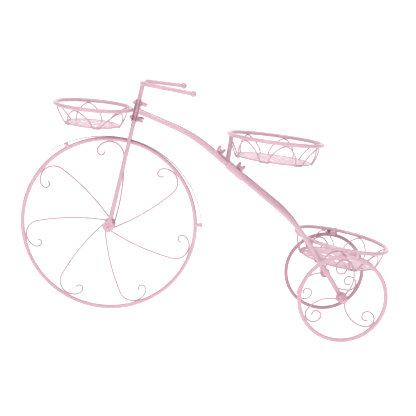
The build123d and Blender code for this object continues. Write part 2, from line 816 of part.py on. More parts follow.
nodes = {
    "front_wheel_rim": wheel_rim(front_axle, front_rim_radius),
    "front_spokes": front_spokes(),
    "front_hub": hub_barrel(front_axle, front_hub_radius, front_hub_length),
    "front_axle_bolt": pan_bolt(
        front_head_plane, front_axle_length, axle_bolt, axle_head_diameter, axle_head_height),
    "front_axle_nut": hex_nut(front_nut_plane, axle_bolt, axle_nut_flats, axle_nut_height),
    "fender": fender(),
    "fender_spacers": fender_spacers(),
    "fork_leg_near": fork_leg(-1),
    "fork_leg_far": fork_leg(1),
    "fork_bolt": pan_bolt(
        fork_bolt_plane, 2 * fork_seat_side + fork_nut_height + axle_tail,
        fork_bolt, fork_head_diameter, fork_head_height),
    "fork_nut": hex_nut(fork_nut_plane, fork_bolt, fork_nut_flats, fork_nut_height),
    "stem_tube": stem_tube(),
    "handlebar": bent_bar(handlebar_line, handle_bar),
    "grip_ball_near": grip_ball(handlebar_line @ 0, near_grip_out),
    "grip_ball_far": grip_ball(handlebar_line @ 1, far_grip_out),
    "head_strap": head_flat(strap_back, head_strap_width),
    "head_plate": head_flat(plate_back, head_plate_width),
    "head_bolts": head_bolts(),
    "head_wing_nut_upper": clamp_wing_nut(
        stem_plane(head_upper_height, clamp_nut_back), upper_wing_turn),
    "head_wing_nut_lower": clamp_wing_nut(
        stem_plane(head_lower_height, clamp_nut_back), lower_wing_turn),
    "front_frame_tube_near": front_frame_tube(-1),
    "front_frame_tube_far": front_frame_tube(1),
    "rear_frame_tube_near": rear_frame_tube(-1),
    "rear_frame_tube_far": rear_frame_tube(1),
    "front_cross_strap": cross_strap(bolt_alongs[0], frame_bar),
    "rear_cross_strap": cross_strap(bolt_alongs[1], collar_diameter),
    "middle_plate": middle_plate(),
    "middle_bolts": middle_bolts(),
    "middle_wing_nut_front": clamp_wing_nut(run_plane(bolt_alongs[0], plate_top), 0),
    "middle_wing_nut_rear": clamp_wing_nut(run_plane(bolt_alongs[1], plate_top), 0),
    "middle_post": middle_post(),
    "front_basket_rim": basket_rim(front_basket_place, front_basket_radius),
    "front_basket_base_ring": basket_base_ring(
        front_basket_place, front_base_radius, front_basket_depth),
    "front_basket_hoops": basket_hoops(
        front_basket_place, *front_rim, front_hoop_count, front_hoop_angle, front_foot_angle),
    "front_basket_floor": basket_floor(
        front_basket_place, front_base_radius, front_basket_depth, front_petal_count),
    "middle_basket_rim": basket_rim(middle_basket_place, basket_radius),
    "middle_basket_base_ring": basket_base_ring(middle_basket_place, base_radius, basket_depth),
    "middle_basket_hoops": basket_hoops(
        middle_basket_place, *full_rim, hoop_count, hoop_angle, foot_angle)
    - middle_post(weld_gap),
    "middle_basket_floor": basket_floor(
        middle_basket_place, base_radius, basket_depth, petal_count),
    "rear_basket_rim": basket_rim(rear_basket_place, basket_radius),
    "rear_basket_base_ring": basket_base_ring(rear_basket_place, base_radius, basket_depth),
    "rear_basket_hoops": basket_hoops(
        rear_basket_place, *full_rim, hoop_count, rear_hoop_angle, foot_angle),
    "rear_basket_floor": basket_floor(
        rear_basket_place, base_radius, basket_depth, petal_count),
    "rear_wheel_rim_near": wheel_rim(near_hub, rear_rim_radius),
    "rear_wheel_rim_far": wheel_rim(far_hub, rear_rim_radius),
    "rear_spokes_near": rear_spokes(near_hub, near_touch_angles),
    "rear_spokes_far": rear_spokes(far_hub, far_touch_angles),
    "rear_hub_near": hub_barrel(near_hub, rear_hub_radius, rear_hub_length),
    "rear_hub_far": hub_barrel(far_hub, rear_hub_radius, rear_hub_length),
    "rear_axle_bolts": group([rear_axle_bolt(side) for side in (-1, 1)]),
    "rear_axle_nuts": group([rear_axle_nut(side) for side in (-1, 1)]),
    "side_plates": group([side_plate(side, outer_plate_side) for side in (-1, 1)]),
    "side_washers": group([side_washer(side) for side in (-1, 1)]),
    "side_bolts": group([side_bolt_piece(side) for side in (-1, 1)]),
    "side_wing_nut_near": side_wing_nut(side_plane(-1, side_nut_at), 0),
    "side_wing_nut_far": side_wing_nut(side_plane(1, side_nut_at), 90),
}

os.makedirs("parts", exist_ok=True)
for name, shape in nodes.items():
    export_step(shape, "parts/" + name + ".step")
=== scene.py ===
import json
from math import atan2, cos, hypot, pi, radians, sin

import bmesh
import bpy
from mathutils import Matrix, Vector


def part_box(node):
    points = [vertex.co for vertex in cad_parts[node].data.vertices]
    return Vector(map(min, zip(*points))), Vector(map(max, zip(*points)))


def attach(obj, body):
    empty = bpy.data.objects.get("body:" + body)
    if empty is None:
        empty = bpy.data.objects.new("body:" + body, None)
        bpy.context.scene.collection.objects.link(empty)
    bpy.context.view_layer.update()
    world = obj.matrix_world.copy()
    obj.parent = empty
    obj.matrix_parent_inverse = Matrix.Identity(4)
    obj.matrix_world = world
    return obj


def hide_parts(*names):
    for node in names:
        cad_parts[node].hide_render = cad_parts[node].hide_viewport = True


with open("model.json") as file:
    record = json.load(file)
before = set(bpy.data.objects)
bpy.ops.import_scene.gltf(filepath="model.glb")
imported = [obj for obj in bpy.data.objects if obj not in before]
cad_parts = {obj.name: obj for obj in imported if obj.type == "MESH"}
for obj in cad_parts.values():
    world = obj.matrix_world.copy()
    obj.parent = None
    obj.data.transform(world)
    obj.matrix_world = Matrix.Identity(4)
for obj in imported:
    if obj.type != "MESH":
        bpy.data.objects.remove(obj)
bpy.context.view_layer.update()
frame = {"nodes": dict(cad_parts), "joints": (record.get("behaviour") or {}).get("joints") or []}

# The viewpoint: a slightly long lens, a metre and a half from the near side
# and about as high as the handlebar, rolled so that the stand runs downhill.
camera_from_axle = Vector((0.16647, -1.51547, 0.35863))
camera_azimuth = radians(-2.239)
camera_elevation = radians(11.216)
camera_roll = radians(4.975)
lens_length = 57.635
sensor_width = 36
nearest_seen = 0.05
farthest_seen = 60
scene = bpy.context.scene


def middle_of(node):
    low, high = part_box(node)
    return (Vector(low) + Vector(high)) / 2


front_axle = middle_of("front_wheel_rim")
camera_data = bpy.data.cameras.new("viewpoint")
camera_data.lens = lens_length
camera_data.sensor_width = sensor_width
camera_data.sensor_fit = "HORIZONTAL"
camera_data.clip_start = nearest_seen
camera_data.clip_end = farthest_seen
camera = bpy.data.objects.new("viewpoint", camera_data)
scene.collection.objects.link(camera)
back = Vector((
    sin(camera_azimuth) * cos(camera_elevation),
    -cos(camera_azimuth) * cos(camera_elevation),
    sin(camera_elevation)))
level = Vector((cos(camera_azimuth), sin(camera_azimuth), 0))
upright = back.cross(level)
right = level * cos(camera_roll) + upright * sin(camera_roll)
top = upright * cos(camera_roll) - level * sin(camera_roll)
camera.matrix_world = Matrix((right, top, back)).transposed().to_4x4()
camera.location = camera_from_axle + front_axle
scene.camera = camera
scene.view_settings.view_transform = "Standard"

# The studio: a white sweep under and behind the stand, soft light from
# large panels, and a white surround for the paint to reflect.
mm = 0.001
floor_drop = 1.5 * mm
floor_half_width = 8
floor_front = -6
sweep_steps = ((0, 10, 0), (0, 1.2, 0.25), (0, 0.8, 0.9), (0, 0.2, 6))
sweep_white = (0.9, 0.9, 0.9, 1)
sweep_roughness = 0.9
sweep_glow = (1, 1, 1, 1)
sweep_glow_strength = 0.66
surround_white = (1, 0.99, 0.99, 1)
surround_strength = 0.42
lit_point = Vector((0, 0, 0.25))
floor_mesh = bpy.data.meshes.new("studio_floor")
floor = bpy.data.objects.new("studio_floor", floor_mesh)
scene.collection.objects.link(floor)
sweep = bmesh.new()
front_edge = [sweep.verts.new((x, floor_front, -floor_drop)) for x in (-floor_half_width, floor_half_width)]
sheet_edge = [sweep.edges.new(front_edge)]
for step in sweep_steps:
    grown = bmesh.ops.extrude_edge_only(sweep, edges=sheet_edge)["geom"]
    corners = [part for part in grown if isinstance(part, bmesh.types.BMVert)]
    bmesh.ops.translate(sweep, verts=corners, vec=step)
    sheet_edge = [part for part in grown if isinstance(part, bmesh.types.BMEdge)]
bmesh.ops.recalc_face_normals(sweep, faces=sweep.faces)
sweep.to_mesh(floor_mesh)
sweep.free()
floor_mesh.shade_smooth()
studio_white = bpy.data.materials.new("studio_white")
studio_white.use_nodes = True
white = studio_white.node_tree.nodes["Principled BSDF"]
white.inputs["Base Color"].default_value = sweep_white
white.inputs["Roughness"].default_value = sweep_roughness
white.inputs["Emission Color"].default_value = sweep_glow
white.inputs["Emission Strength"].default_value = sweep_glow_strength
floor_mesh.materials.append(studio_white)
world = bpy.data.worlds.new("studio_surround")
scene.world = world
world.use_nodes = True
surround = world.node_tree.nodes["Background"]
surround.inputs["Color"].default_value = surround_white
surround.inputs["Strength"].default_value = surround_strength
for name, place, size, power in (
        ("key_panel", (-1.2, -2.6, 2.4), 1.2, 30),
        ("fill_panel", (2.4, -1.8, 1.4), 1.2, 6),
        ("top_panel", (0.1, -0.3, 3.0), 1.6, 29)):
    panel = bpy.data.lights.new(name, "AREA")
    panel.size = size
    panel.energy = power
    lamp = bpy.data.objects.new(name, panel)
    scene.collection.objects.link(lamp)
    lamp.location = place
    lamp.rotation_euler = (lit_point - lamp.location).to_track_quat("-Z", "Y").to_euler()

# Front wheel: a steel bar rolled into a hoop and butt welded, with seven
# scrolled wires welded between it and the hub. All is sprayed after welding
# in a gloss paint, a little mottled and rippled, and paler on upper faces as a painted highlight.
nodes = frame["nodes"]
across = Vector((0, 1, 0))
front_rim_radius = 200 * mm
wheel_bar_radius = 4.5 * mm
hub_radius = 8 * mm
front_touch_angles = (-13.5, 42.5, 92.6, 144.0, 192.3, 242.2, 293.3)
front_root_turn = 105.7
front_seam_angle = -68
front_seam_swell = 1.09
seam_half_length = 2.6 * mm
root_bead_lift = 0.5 * mm
scroll_bead = (4.4 * mm, 2.5 * mm, 1.9 * mm)
# painted highlight: the pale tint that upward-facing faces are mixed toward
painted_top_highlight_tint = (0.93, 0.74, 0.82, 1)
same_point = 1e-6
crease_angle = radians(38)


def spray_coat():
    coat = bpy.data.node_groups.new("spray_coat", "ShaderNodeTree")
    for label, kind, value in (
            ("Paint", "NodeSocketColor", (0.7, 0.4, 0.5, 1)),
            ("Shade", "NodeSocketColor", (0.5, 0.25, 0.3, 1)),
            ("Mottle Scale", "NodeSocketFloat", 40.0),
            ("Peel Scale", "NodeSocketFloat", 900.0),
            ("Peel Height", "NodeSocketFloat", 0.1),
            ("Gloss", "NodeSocketFloat", 0.3)):
        socket = coat.interface.new_socket(label, in_out="INPUT", socket_type=kind)
        socket.default_value = value
    for label, kind in (
            ("Color", "NodeSocketColor"), ("Roughness", "NodeSocketFloat"),
            ("Normal", "NodeSocketVector")):
        coat.interface.new_socket(label, in_out="OUTPUT", socket_type=kind)
    given = coat.nodes.new("NodeGroupInput")
    result = coat.nodes.new("NodeGroupOutput")
    place = coat.nodes.new("ShaderNodeTexCoord")
    join = coat.links.new
    mottle = coat.nodes.new("ShaderNodeTexNoise")
    mottle.inputs["Detail"].default_value = 4
    join(place.outputs["Object"], mottle.inputs["Vector"])
    join(given.outputs["Mottle Scale"], mottle.inputs["Scale"])
    spread = coat.nodes.new("ShaderNodeMapRange")
    spread.inputs["From Min"].default_value = 0.35
    spread.inputs["From Max"].default_value = 0.75
    spread.inputs["To Max"].default_value = 0.35
    join(mottle.outputs["Fac"], spread.inputs["Value"])
    blend = coat.nodes.new("ShaderNodeMix")
    blend.data_type = "RGBA"
    join(spread.outputs["Result"], blend.inputs["Factor"])
    join(given.outputs["Paint"], blend.inputs["A"])
    join(given.outputs["Shade"], blend.inputs["B"])
    # Painted highlight: faces turned upward are mixed toward a pale tint, standing in for light from above.
    facing = coat.nodes.new("ShaderNodeNewGeometry")
    height = coat.nodes.new("ShaderNodeSeparateXYZ")
    join(facing.outputs["Normal"], height.inputs["Vector"])
    top_highlight_mask = coat.nodes.new("ShaderNodeMapRange")
    top_highlight_mask.inputs["From Min"].default_value = -0.6
    top_highlight_mask.inputs["From Max"].default_value = 1.0
    top_highlight_mask.inputs["To Max"].default_value = 0.2
    join(height.outputs["Z"], top_highlight_mask.inputs["Value"])
    painted_top_highlight = coat.nodes.new("ShaderNodeMix")
    painted_top_highlight.data_type = "RGBA"
    painted_top_highlight.inputs["B"].default_value = painted_top_highlight_tint
    join(top_highlight_mask.outputs["Result"], painted_top_highlight.inputs["Factor"])
    join(blend.outputs["Result"], painted_top_highlight.inputs["A"])
    join(painted_top_highlight.outputs["Result"], result.inputs["Color"])
    rough = coat.nodes.new("ShaderNodeMath")
    rough.operation = "MULTIPLY_ADD"
    rough.inputs[1].default_value = 0.16
    join(mottle.outputs["Fac"], rough.inputs[0])
    join(given.outputs["Gloss"], rough.inputs[2])
    join(rough.outputs["Value"], result.inputs["Roughness"])
    peel = coat.nodes.new("ShaderNodeTexNoise")
    peel.inputs["Detail"].default_value = 2
    join(place.outputs["Object"], peel.inputs["Vector"])
    join(given.outputs["Peel Scale"], peel.inputs["Scale"])
    skin = coat.nodes.new("ShaderNodeBump")
    skin.inputs["Distance"].default_value = 0.0002
    join(given.outputs["Peel Height"], skin.inputs["Strength"])
    join(peel.outputs["Fac"], skin.inputs["Height"])
    join(skin.outputs["Normal"], result.inputs["Normal"])
    return coat


coat_group = spray_coat()


def painted(name, paint, shade, gloss, mottle, peel_height):
    material = bpy.data.materials.new(name)
    material.use_nodes = True
    tree = material.node_tree
    surface = tree.nodes["Principled BSDF"]
    coat = tree.nodes.new("ShaderNodeGroup")
    coat.node_tree = coat_group
    coat.inputs["Paint"].default_value = (*paint, 1)
    coat.inputs["Shade"].default_value = (*shade, 1)
    coat.inputs["Gloss"].default_value = gloss
    coat.inputs["Mottle Scale"].default_value = mottle
    coat.inputs["Peel Height"].default_value = peel_height
    tree.links.new(coat.outputs["Color"], surface.inputs["Base Color"])
    tree.links.new(coat.outputs["Roughness"], surface.inputs["Roughness"])
    tree.links.new(coat.outputs["Normal"], surface.inputs["Normal"])
    surface.inputs["Coat Weight"].default_value = 0.3
    surface.inputs["Coat Roughness"].default_value = 0.12
    return material


def finish_nodes(names, material):
    for name in names:
        mesh = nodes[name].data
        mesh.materials.clear()
        mesh.materials.append(material)


def lay_bead(work, at, along, out, sizes):
    along = along.normalized()
    out = (out - along * out.dot(along)).normalized()
    turn = Matrix((along, out.cross(along), out)).transposed().to_quaternion()
    shape = Matrix.LocRotScale(at, turn, sizes)
    bmesh.ops.create_icosphere(work, subdivisions=2, radius=1, matrix=shape)


def ring_of_beads(work, centre, axis, radius, count, sizes):
    first = axis.orthogonal().normalized()
    for number in range(count):
        out = Matrix.Rotation(2 * pi * number / count, 3, axis) @ first
        lay_bead(work, centre + out * radius, axis.cross(out), out, sizes)


def settle(work, name, material, body="stand"):
    bmesh.ops.remove_doubles(work, verts=work.verts, dist=same_point)
    bmesh.ops.recalc_face_normals(work, faces=work.faces)
    mesh = bpy.data.meshes.new(name)
    work.to_mesh(mesh)
    work.free()
    mesh.shade_smooth()
    mesh.set_sharp_from_angle(angle=crease_angle)
    mesh.materials.append(material)
    piece = bpy.data.objects.new(name, mesh)
    scene.collection.objects.link(piece)
    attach(piece, body)
    return piece


def round_the_wheel(angle):
    return Vector((cos(radians(angle)), 0, sin(radians(angle))))


def weld_scroll(work, hub, rim_inside, touch, root):
    for angle, radius in ((touch, rim_inside), (root, hub_radius + root_bead_lift)):
        out = round_the_wheel(angle)
        lay_bead(work, hub + out * radius, across.cross(out), out, scroll_bead)


def close_seam(work, hub, radius, angle, swell):
    out = round_the_wheel(angle)
    swollen = wheel_bar_radius * swell
    lay_bead(work, hub + out * radius, across.cross(out), out, (seam_half_length, swollen, swollen))


rim_paint = painted("rim_paint", (0.649, 0.395, 0.479), (0.545, 0.301, 0.385), 0.2, 22, 0.15)
scroll_paint = painted("scroll_paint", (0.545, 0.32, 0.395), (0.432, 0.235, 0.31), 0.24, 60, 0.1)
beads = bmesh.new()
for touch in front_touch_angles:
    weld_scroll(beads, front_axle, front_rim_radius - wheel_bar_radius, touch, touch - front_root_turn)
close_seam(beads, front_axle, front_rim_radius, front_seam_angle, front_seam_swell)
settle(beads, "front_wheel_welds", rim_paint)
finish_nodes(["front_wheel_rim", "front_hub"], rim_paint)
finish_nodes(["front_spokes"], scroll_paint)

# Front axle: a turned bolt with a domed head and a hexagon socket, run
# through the fork eyes and the hub, and a pressed nut on its thread.
axle_stock = 6 * mm
axle_head = 10 * mm
axle_head_height = 4 * mm
axle_thread = 8 * mm
axle_flats = 10 * mm
thread_pitch = 0.8 * mm
thread_root_share = 0.43
point_share = 0.4
socket_share = 0.24
socket_depth_share = 0.4
socket_ease = 0.2 * mm
edge_ease = 0.15 * mm
nut_ease = 0.1 * mm
nut_chamfer = 0.4 * mm
nut_corner_drop = 0.5
nut_steps = 36
same_height = 0.01 * mm


def turned(work, foot, axis, profile, steps=30, ring=False):
    first = axis.orthogonal().normalized()
    before = set(work.verts)
    corners = [work.verts.new(foot + axis * height + first * radius) for radius, height in profile]
    sides = [work.edges.new(pair) for pair in zip(corners, corners[1:])]
    if ring:
        sides.append(work.edges.new((corners[-1], corners[0])))
    bmesh.ops.spin(
        work, geom=corners + sides, cent=foot, axis=axis, angle=2 * pi, steps=steps, use_merge=True)
    return [vert for vert in work.verts if vert not in before]


def make_hexagon(verts, foot, axis, drop):
    first = axis.orthogonal().normalized()
    second = axis.cross(first)
    for vert in verts:
        offset = vert.co - foot
        x, y = offset.dot(first), offset.dot(second)
        growth = 1 / cos(atan2(y, x) % (pi / 3) - pi / 6) - 1
        vert.co += (first * x + second * y) * growth + axis * growth * hypot(x, y) * drop


def socket_bolt(work, foot, axis, stock, head, head_height, length, thread):
    socket = head * socket_share
    sunk = -head_height * socket_depth_share
    profile = [
        (0, sunk), (socket * 0.9, sunk), (socket, -head_height + edge_ease),
        (socket + socket_ease, -head_height), (head * 0.34, -head_height * 0.98),
        (head * 0.44, -head_height * 0.76), (head * 0.49, -head_height * 0.42),
        (head / 2, -head_height * 0.12), (head / 2 - edge_ease, 0),
        (stock / 2, 0), (stock / 2, length - thread)]
    for turn in range(int(thread / thread_pitch)):
        start = length - thread + turn * thread_pitch
        profile += [
            (stock * thread_root_share, start + thread_pitch / 2),
            (stock / 2, start + thread_pitch)]
    profile += [(stock * point_share, length), (0, length)]
    verts = turned(work, foot, axis, profile)
    inside = [
        vert for vert in verts
        if (vert.co - foot).dot(axis) < sunk * 0.9
        and ((vert.co - foot) - axis * (vert.co - foot).dot(axis)).length < socket * 1.01]
    make_hexagon(inside, foot, axis, 0)


def six_sided_nut(work, foot, axis, stock, flats, height):
    bore = stock / 2 + nut_ease
    profile = [
        (bore, nut_chamfer), (bore + nut_chamfer, 0), (flats / 2, 0), (flats / 2, height),
        (bore + nut_chamfer, height), (bore, height - nut_chamfer)]
    verts = turned(work, foot, axis, profile, nut_steps, ring=True)
    for end, drop in ((0, nut_corner_drop), (height, -nut_corner_drop)):
        outer = [
            vert for vert in verts
            if abs((vert.co - foot).dot(axis) - end) < same_height
            and (vert.co - foot).length > flats * 0.49]
        make_hexagon(outer, foot + axis * end, axis, drop)


# Fasteners, spacers, washers and side plates are painted paler than the tubes as painted light, offsetting
# the shade that falls on small parts.
fastener_paint = painted("fastener_paint", (0.714, 0.47, 0.555), (0.583, 0.338, 0.423), 0.26, 120, 0.25)
low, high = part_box("front_axle_bolt")
bolt = bmesh.new()
foot = Vector((front_axle.x, low[1] + axle_head_height, front_axle.z))
socket_bolt(bolt, foot, across, axle_stock, axle_head, axle_head_height, high[1] - foot.y, axle_thread)
settled = settle(bolt, "front_axle_socket_bolt", fastener_paint)
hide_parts("front_axle_bolt")
low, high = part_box("front_axle_nut")
nut = bmesh.new()
foot = Vector((front_axle.x, low[1], front_axle.z))
six_sided_nut(nut, foot, across, axle_stock, axle_flats, high[1] - low[1])
settled = settle(nut, "front_axle_hex_nut", fastener_paint)
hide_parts("front_axle_nut")

# Fork: two straight bars with flat eyes welded on for the axle, lapped on
# the stem and held there by one small cross bolt and its nut.
rake = radians(9.85)
stem_up = Vector((sin(rake), 0, cos(rake)))
stem_back = Vector((cos(rake), 0, -sin(rake)))
fork_eye_radius = 13 * mm
eye_weld_sunk = 1.5 * mm
eye_weld_behind = 4 * mm
eye_weld_side = 20 * mm
eye_bead = (4.5 * mm, 1.6 * mm, 1.5 * mm)
leg_top_height = 248.6 * mm
leg_top_side = 9.1 * mm
leg_weld_radius = 3.6 * mm
leg_weld_count = 12
leg_bead = (1.7 * mm, 1.1 * mm, 1.3 * mm)
fork_stock = 4 * mm
fork_head = 7 * mm
fork_head_height = 2.5 * mm
fork_thread = 5 * mm
fork_flats = 7 * mm


def on_stem(height, behind=0, side=0):
    return front_axle + stem_up * height + stem_back * behind + across * side


# Weld beads are painted paler than the tubes as a painted glint.
weld_glint_paint = painted("weld_glint_paint", (0.79, 0.564, 0.649), (0.658, 0.423, 0.508), 0.22, 140, 0.3)
fork_paint = painted("fork_paint", (0.658, 0.404, 0.489), (0.545, 0.31, 0.395), 0.2, 30, 0.15)
beads = bmesh.new()
for side in (-1, 1):
    for behind in (-1, 1):
        at = on_stem(fork_eye_radius - eye_weld_sunk, behind * eye_weld_behind, side * eye_weld_side)
        lay_bead(beads, at, stem_up, stem_back * behind, eye_bead)
    leg_top = on_stem(leg_top_height, 0, side * leg_top_side)
    ring_of_beads(beads, leg_top, stem_up, leg_weld_radius, leg_weld_count, leg_bead)
settle(beads, "fork_welds", weld_glint_paint)
centre = middle_of("fork_bolt")
low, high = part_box("fork_bolt")
bolt = bmesh.new()
foot = Vector((centre.x, low[1] + fork_head_height, centre.z))
socket_bolt(bolt, foot, across, fork_stock, fork_head, fork_head_height, high[1] - foot.y, fork_thread)
settled = settle(bolt, "fork_socket_bolt", fastener_paint)
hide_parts("fork_bolt")
low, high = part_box("fork_nut")
nut = bmesh.new()
foot = Vector((centre.x, low[1], centre.z))
six_sided_nut(nut, foot, across, fork_stock, fork_flats, high[1] - low[1])
settled = settle(nut, "fork_hex_nut", fastener_paint)
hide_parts("fork_nut")
finish_nodes(["fork_leg_near", "fork_leg_far"], fork_paint)

# Handlebar: one bar bent to a U and welded across the top of the stem, with
# a steel ball pressed on each end as a grip.
bar_height = 336.8 * mm
flank_weld_drop = 4.2 * mm
flank_weld_reach = 4.6 * mm
flank_bead = (3.6 * mm, 1.7 * mm, 1.7 * mm)
face_weld_drop = 3.4 * mm
face_weld_reach = 4.4 * mm
face_bead = (4.2 * mm, 1.5 * mm, 1.6 * mm)
handlebar_paint = painted("handlebar_paint", (0.649, 0.395, 0.479), (0.536, 0.291, 0.376), 0.18, 34, 0.12)
beads = bmesh.new()
for side in (-1, 1):
    at = on_stem(bar_height - flank_weld_drop, 0, side * flank_weld_reach)
    lay_bead(beads, at, stem_back, across * side, flank_bead)
    at = on_stem(bar_height - face_weld_drop, side * face_weld_reach)
    lay_bead(beads, at, across, stem_back * side, face_bead)
settle(beads, "handlebar_welds", weld_glint_paint)
finish_nodes(["handlebar", "grip_ball_near", "grip_ball_far", "stem_tube"], handlebar_paint)

# Head joint: a strap before the stem and a plate behind it, drawn together
# by two socket bolts and cast wing nuts, with the frame tubes and the front
# basket welded to them.
joints = {joint["name"]: joint for joint in frame["joints"]}
head_joints = (joints["head_upper_nut_turn"], joints["head_lower_nut_turn"])
head_nut_turns = (18, 30)
head_stack = 14.2 * mm
clamp_stock = 5 * mm
clamp_bolt = {
    "stock": clamp_stock, "head": 9 * mm, "head_height": 5 * mm, "past_seat": 7.8 * mm,
    "thread": 7 * mm}
clamp_nut = {
    "stock": clamp_stock, "hub": 10 * mm, "hub_height": 5.5 * mm, "span": 20 * mm,
    "height": 13.5 * mm, "thickness": 3 * mm, "tip": 3.8 * mm, "root": 3.2 * mm}
wing_nut_lift = 0.3 * mm
wing_bore_ease = 0.35 * mm
wing_clear = 0.1 * mm
wing_tip_share = 0.8
wing_segments = 28
casting_voxel = 0.42 * mm
tube_foot_height = 271.75 * mm
tube_foot_behind = 7.9 * mm
tube_foot_side = 6.5 * mm
tube_weld_radius = 5.4 * mm
tube_weld_count = 16
tube_bead = (2 * mm, 1.5 * mm, 1.5 * mm)
basket_weld_height = 271.25 * mm
basket_weld_rise = 2.9 * mm
basket_weld_ahead = 7.6 * mm
basket_weld_side = 3 * mm
basket_bead = (4.2 * mm, 1.5 * mm, 1.4 * mm)


def wing_of(work, foot, axis, outwards, bore, span, height, thickness, tip, root):
    flat = axis.cross(outwards)
    turn = Matrix((outwards, flat, axis)).transposed().to_quaternion()
    ends = []
    for reach, rise, radius, thick in (
            (bore + root + wing_clear, root, root, thickness),
            (span / 2 - tip, height - tip, tip, thickness * wing_tip_share)):
        lie = Matrix.LocRotScale(foot + outwards * reach + axis * rise, turn, None)
        ends += bmesh.ops.create_cone(
            work, cap_ends=True, segments=wing_segments, radius1=radius, radius2=radius, depth=thick,
            matrix=lie @ Matrix.Rotation(pi / 2, 4, "X"))["verts"]
    hull = bmesh.ops.convex_hull(work, input=ends)
    spare = [part for part in hull["geom_interior"] if isinstance(part, bmesh.types.BMVert)]
    bmesh.ops.delete(work, geom=spare, context="VERTS")


def cast_wing_nut(joint, wings, stock, hub, hub_height, span, height, thickness, tip, root):
    node = joint["child"]
    axis = Vector(joint["axis"]).normalized()
    foot = Vector(joint["pos_m"]) + axis * wing_nut_lift
    bore = stock / 2 + wing_bore_ease
    profile = [
        (bore, 0), (hub / 2, 0), (hub / 2, hub_height * 0.3), (hub * 0.42, hub_height * 0.9),
        (hub * 0.38, hub_height), (bore, hub_height)]
    work = bmesh.new()
    turned(work, foot, axis, profile, nut_steps, ring=True)
    for outwards in (wings, -wings):
        wing_of(work, foot, axis, outwards, bore, span, height, thickness, tip, root)
    piece = settle(work, node + "_casting", fastener_paint, node)
    casting = piece.modifiers.new("casting", "REMESH")
    casting.mode = "VOXEL"
    casting.voxel_size = casting_voxel
    fettling = piece.modifiers.new("fettling", "SMOOTH")
    fettling.factor = 0.5
    fettling.iterations = 3
    bpy.context.view_layer.update()
    cast = bpy.data.meshes.new_from_object(piece.evaluated_get(bpy.context.evaluated_depsgraph_get()))
    piece.modifiers.clear()
    piece.data = cast
    cast.shade_smooth()
    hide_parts(node)


def bolt_behind(work, joint, stack, stock, head, head_height, past_seat, thread):
    axis = Vector(joint["axis"]).normalized()
    foot = Vector(joint["pos_m"]) - axis * stack
    socket_bolt(work, foot, axis, stock, head, head_height, stack + past_seat, thread)


head_paint = painted("head_paint", (0.62, 0.367, 0.451), (0.498, 0.263, 0.348), 0.2, 45, 0.15)
bolt = bmesh.new()
for joint in head_joints:
    bolt_behind(bolt, joint, head_stack, **clamp_bolt)
settled = settle(bolt, "head_socket_bolts", fastener_paint)
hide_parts("head_bolts")
for joint, turn in zip(head_joints, head_nut_turns):
    wings = Matrix.Rotation(radians(turn), 3, stem_back) @ across
    cast_wing_nut(joint, wings, **clamp_nut)
beads = bmesh.new()
for side in (-1, 1):
    tube_foot = on_stem(tube_foot_height, tube_foot_behind, side * tube_foot_side)
    ring_of_beads(beads, tube_foot, stem_back, tube_weld_radius, tube_weld_count, tube_bead)
    for rise in (-1, 1):
        height = basket_weld_height + rise * basket_weld_rise
        at = on_stem(height, -basket_weld_ahead, side * basket_weld_side)
        lay_bead(beads, at, across, stem_up * rise, basket_bead)
settle(beads, "head_welds", weld_glint_paint)
finish_nodes(["head_strap", "head_plate"], head_paint)

# Fender: a thin strip rolled to a low crown and bent in two arcs over the
# front wheel, riveted to two short posts that are welded to the rim.
fender_touch_angle = 84
fender_touch_radius = 205.4 * mm
fender_arcs = ((35.6 * mm, 40.5), (11.5 * mm, -79.0))
fender_steps = 70
fender_half_width = 6 * mm
strip_outline = (
    (-1, -0.5 * mm), (-0.96, -0.75 * mm), (-0.5, -0.55 * mm), (0, -0.45 * mm),
    (0.5, -0.55 * mm), (0.96, -0.75 * mm), (1, -0.5 * mm), (0.98, 0.5 * mm),
    (0.5, 0.68 * mm), (0, 0.75 * mm), (-0.5, 0.68 * mm), (-0.98, 0.5 * mm))
shaded_edge_share = 0.975
fender_post_angles = (120.9, 4.3)
rivet_lift = 0.5 * mm
rivet_head = (2.4 * mm, 2.4 * mm, 1.1 * mm)
post_weld_lift = 3.6 * mm
post_weld_radius = 4.4 * mm
post_weld_count = 14
post_bead = (1.5 * mm, 1.1 * mm, 1.2 * mm)
strip_paint = painted("strip_paint", (0.62, 0.376, 0.461), (0.508, 0.273, 0.357), 0.24, 50, 0.18)
# The fender's long edge faces are painted near black as painted shade.
fender_edge_shade_paint = painted("fender_edge_shade_paint", (0.207, 0.113, 0.15), (0.15, 0.0752, 0.113), 0.4, 50, 0.18)
touch_way = round_the_wheel(fender_touch_angle)
strip = bmesh.new()
edge_points = [
    strip.verts.new(
        front_axle + touch_way * (fender_touch_radius + rise) + across * share * fender_half_width)
    for share, rise in strip_outline]
loop = [strip.edges.new(pair) for pair in zip(edge_points, edge_points[1:] + edge_points[:1])]
for ease, turn in fender_arcs:
    bmesh.ops.spin(
        strip, geom=edge_points + loop, cent=front_axle - touch_way * ease, axis=-across,
        angle=radians(turn), steps=fender_steps)
bmesh.ops.holes_fill(strip, edges=[edge for edge in strip.edges if edge.is_boundary], sides=0)
for angle, (ease, turn) in zip(fender_post_angles, fender_arcs):
    out = round_the_wheel(angle)
    middle = front_axle - touch_way * ease
    reach = fender_touch_radius + ease
    along = (front_axle - middle).dot(out)
    distance = -along + (along ** 2 - (front_axle - middle).length_squared + reach ** 2) ** 0.5
    lay_bead(strip, front_axle + out * (distance + rivet_lift), across, out, rivet_head)
settled = settle(strip, "fender_strip", strip_paint)
settled.data.materials.append(fender_edge_shade_paint)
# Painted shade: faces near the strip's long edges take the dark edge paint.
for face in settled.data.polygons:
    if abs(face.center.y) > shaded_edge_share * fender_half_width:
        face.material_index = 1
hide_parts("fender")
beads = bmesh.new()
for angle in fender_post_angles:
    out = round_the_wheel(angle)
    post_foot = front_axle + out * (front_rim_radius + post_weld_lift)
    ring_of_beads(beads, post_foot, out, post_weld_radius, post_weld_count, post_bead)
settle(beads, "fender_post_welds", weld_glint_paint)
finish_nodes(["fender_spacers"], fastener_paint)

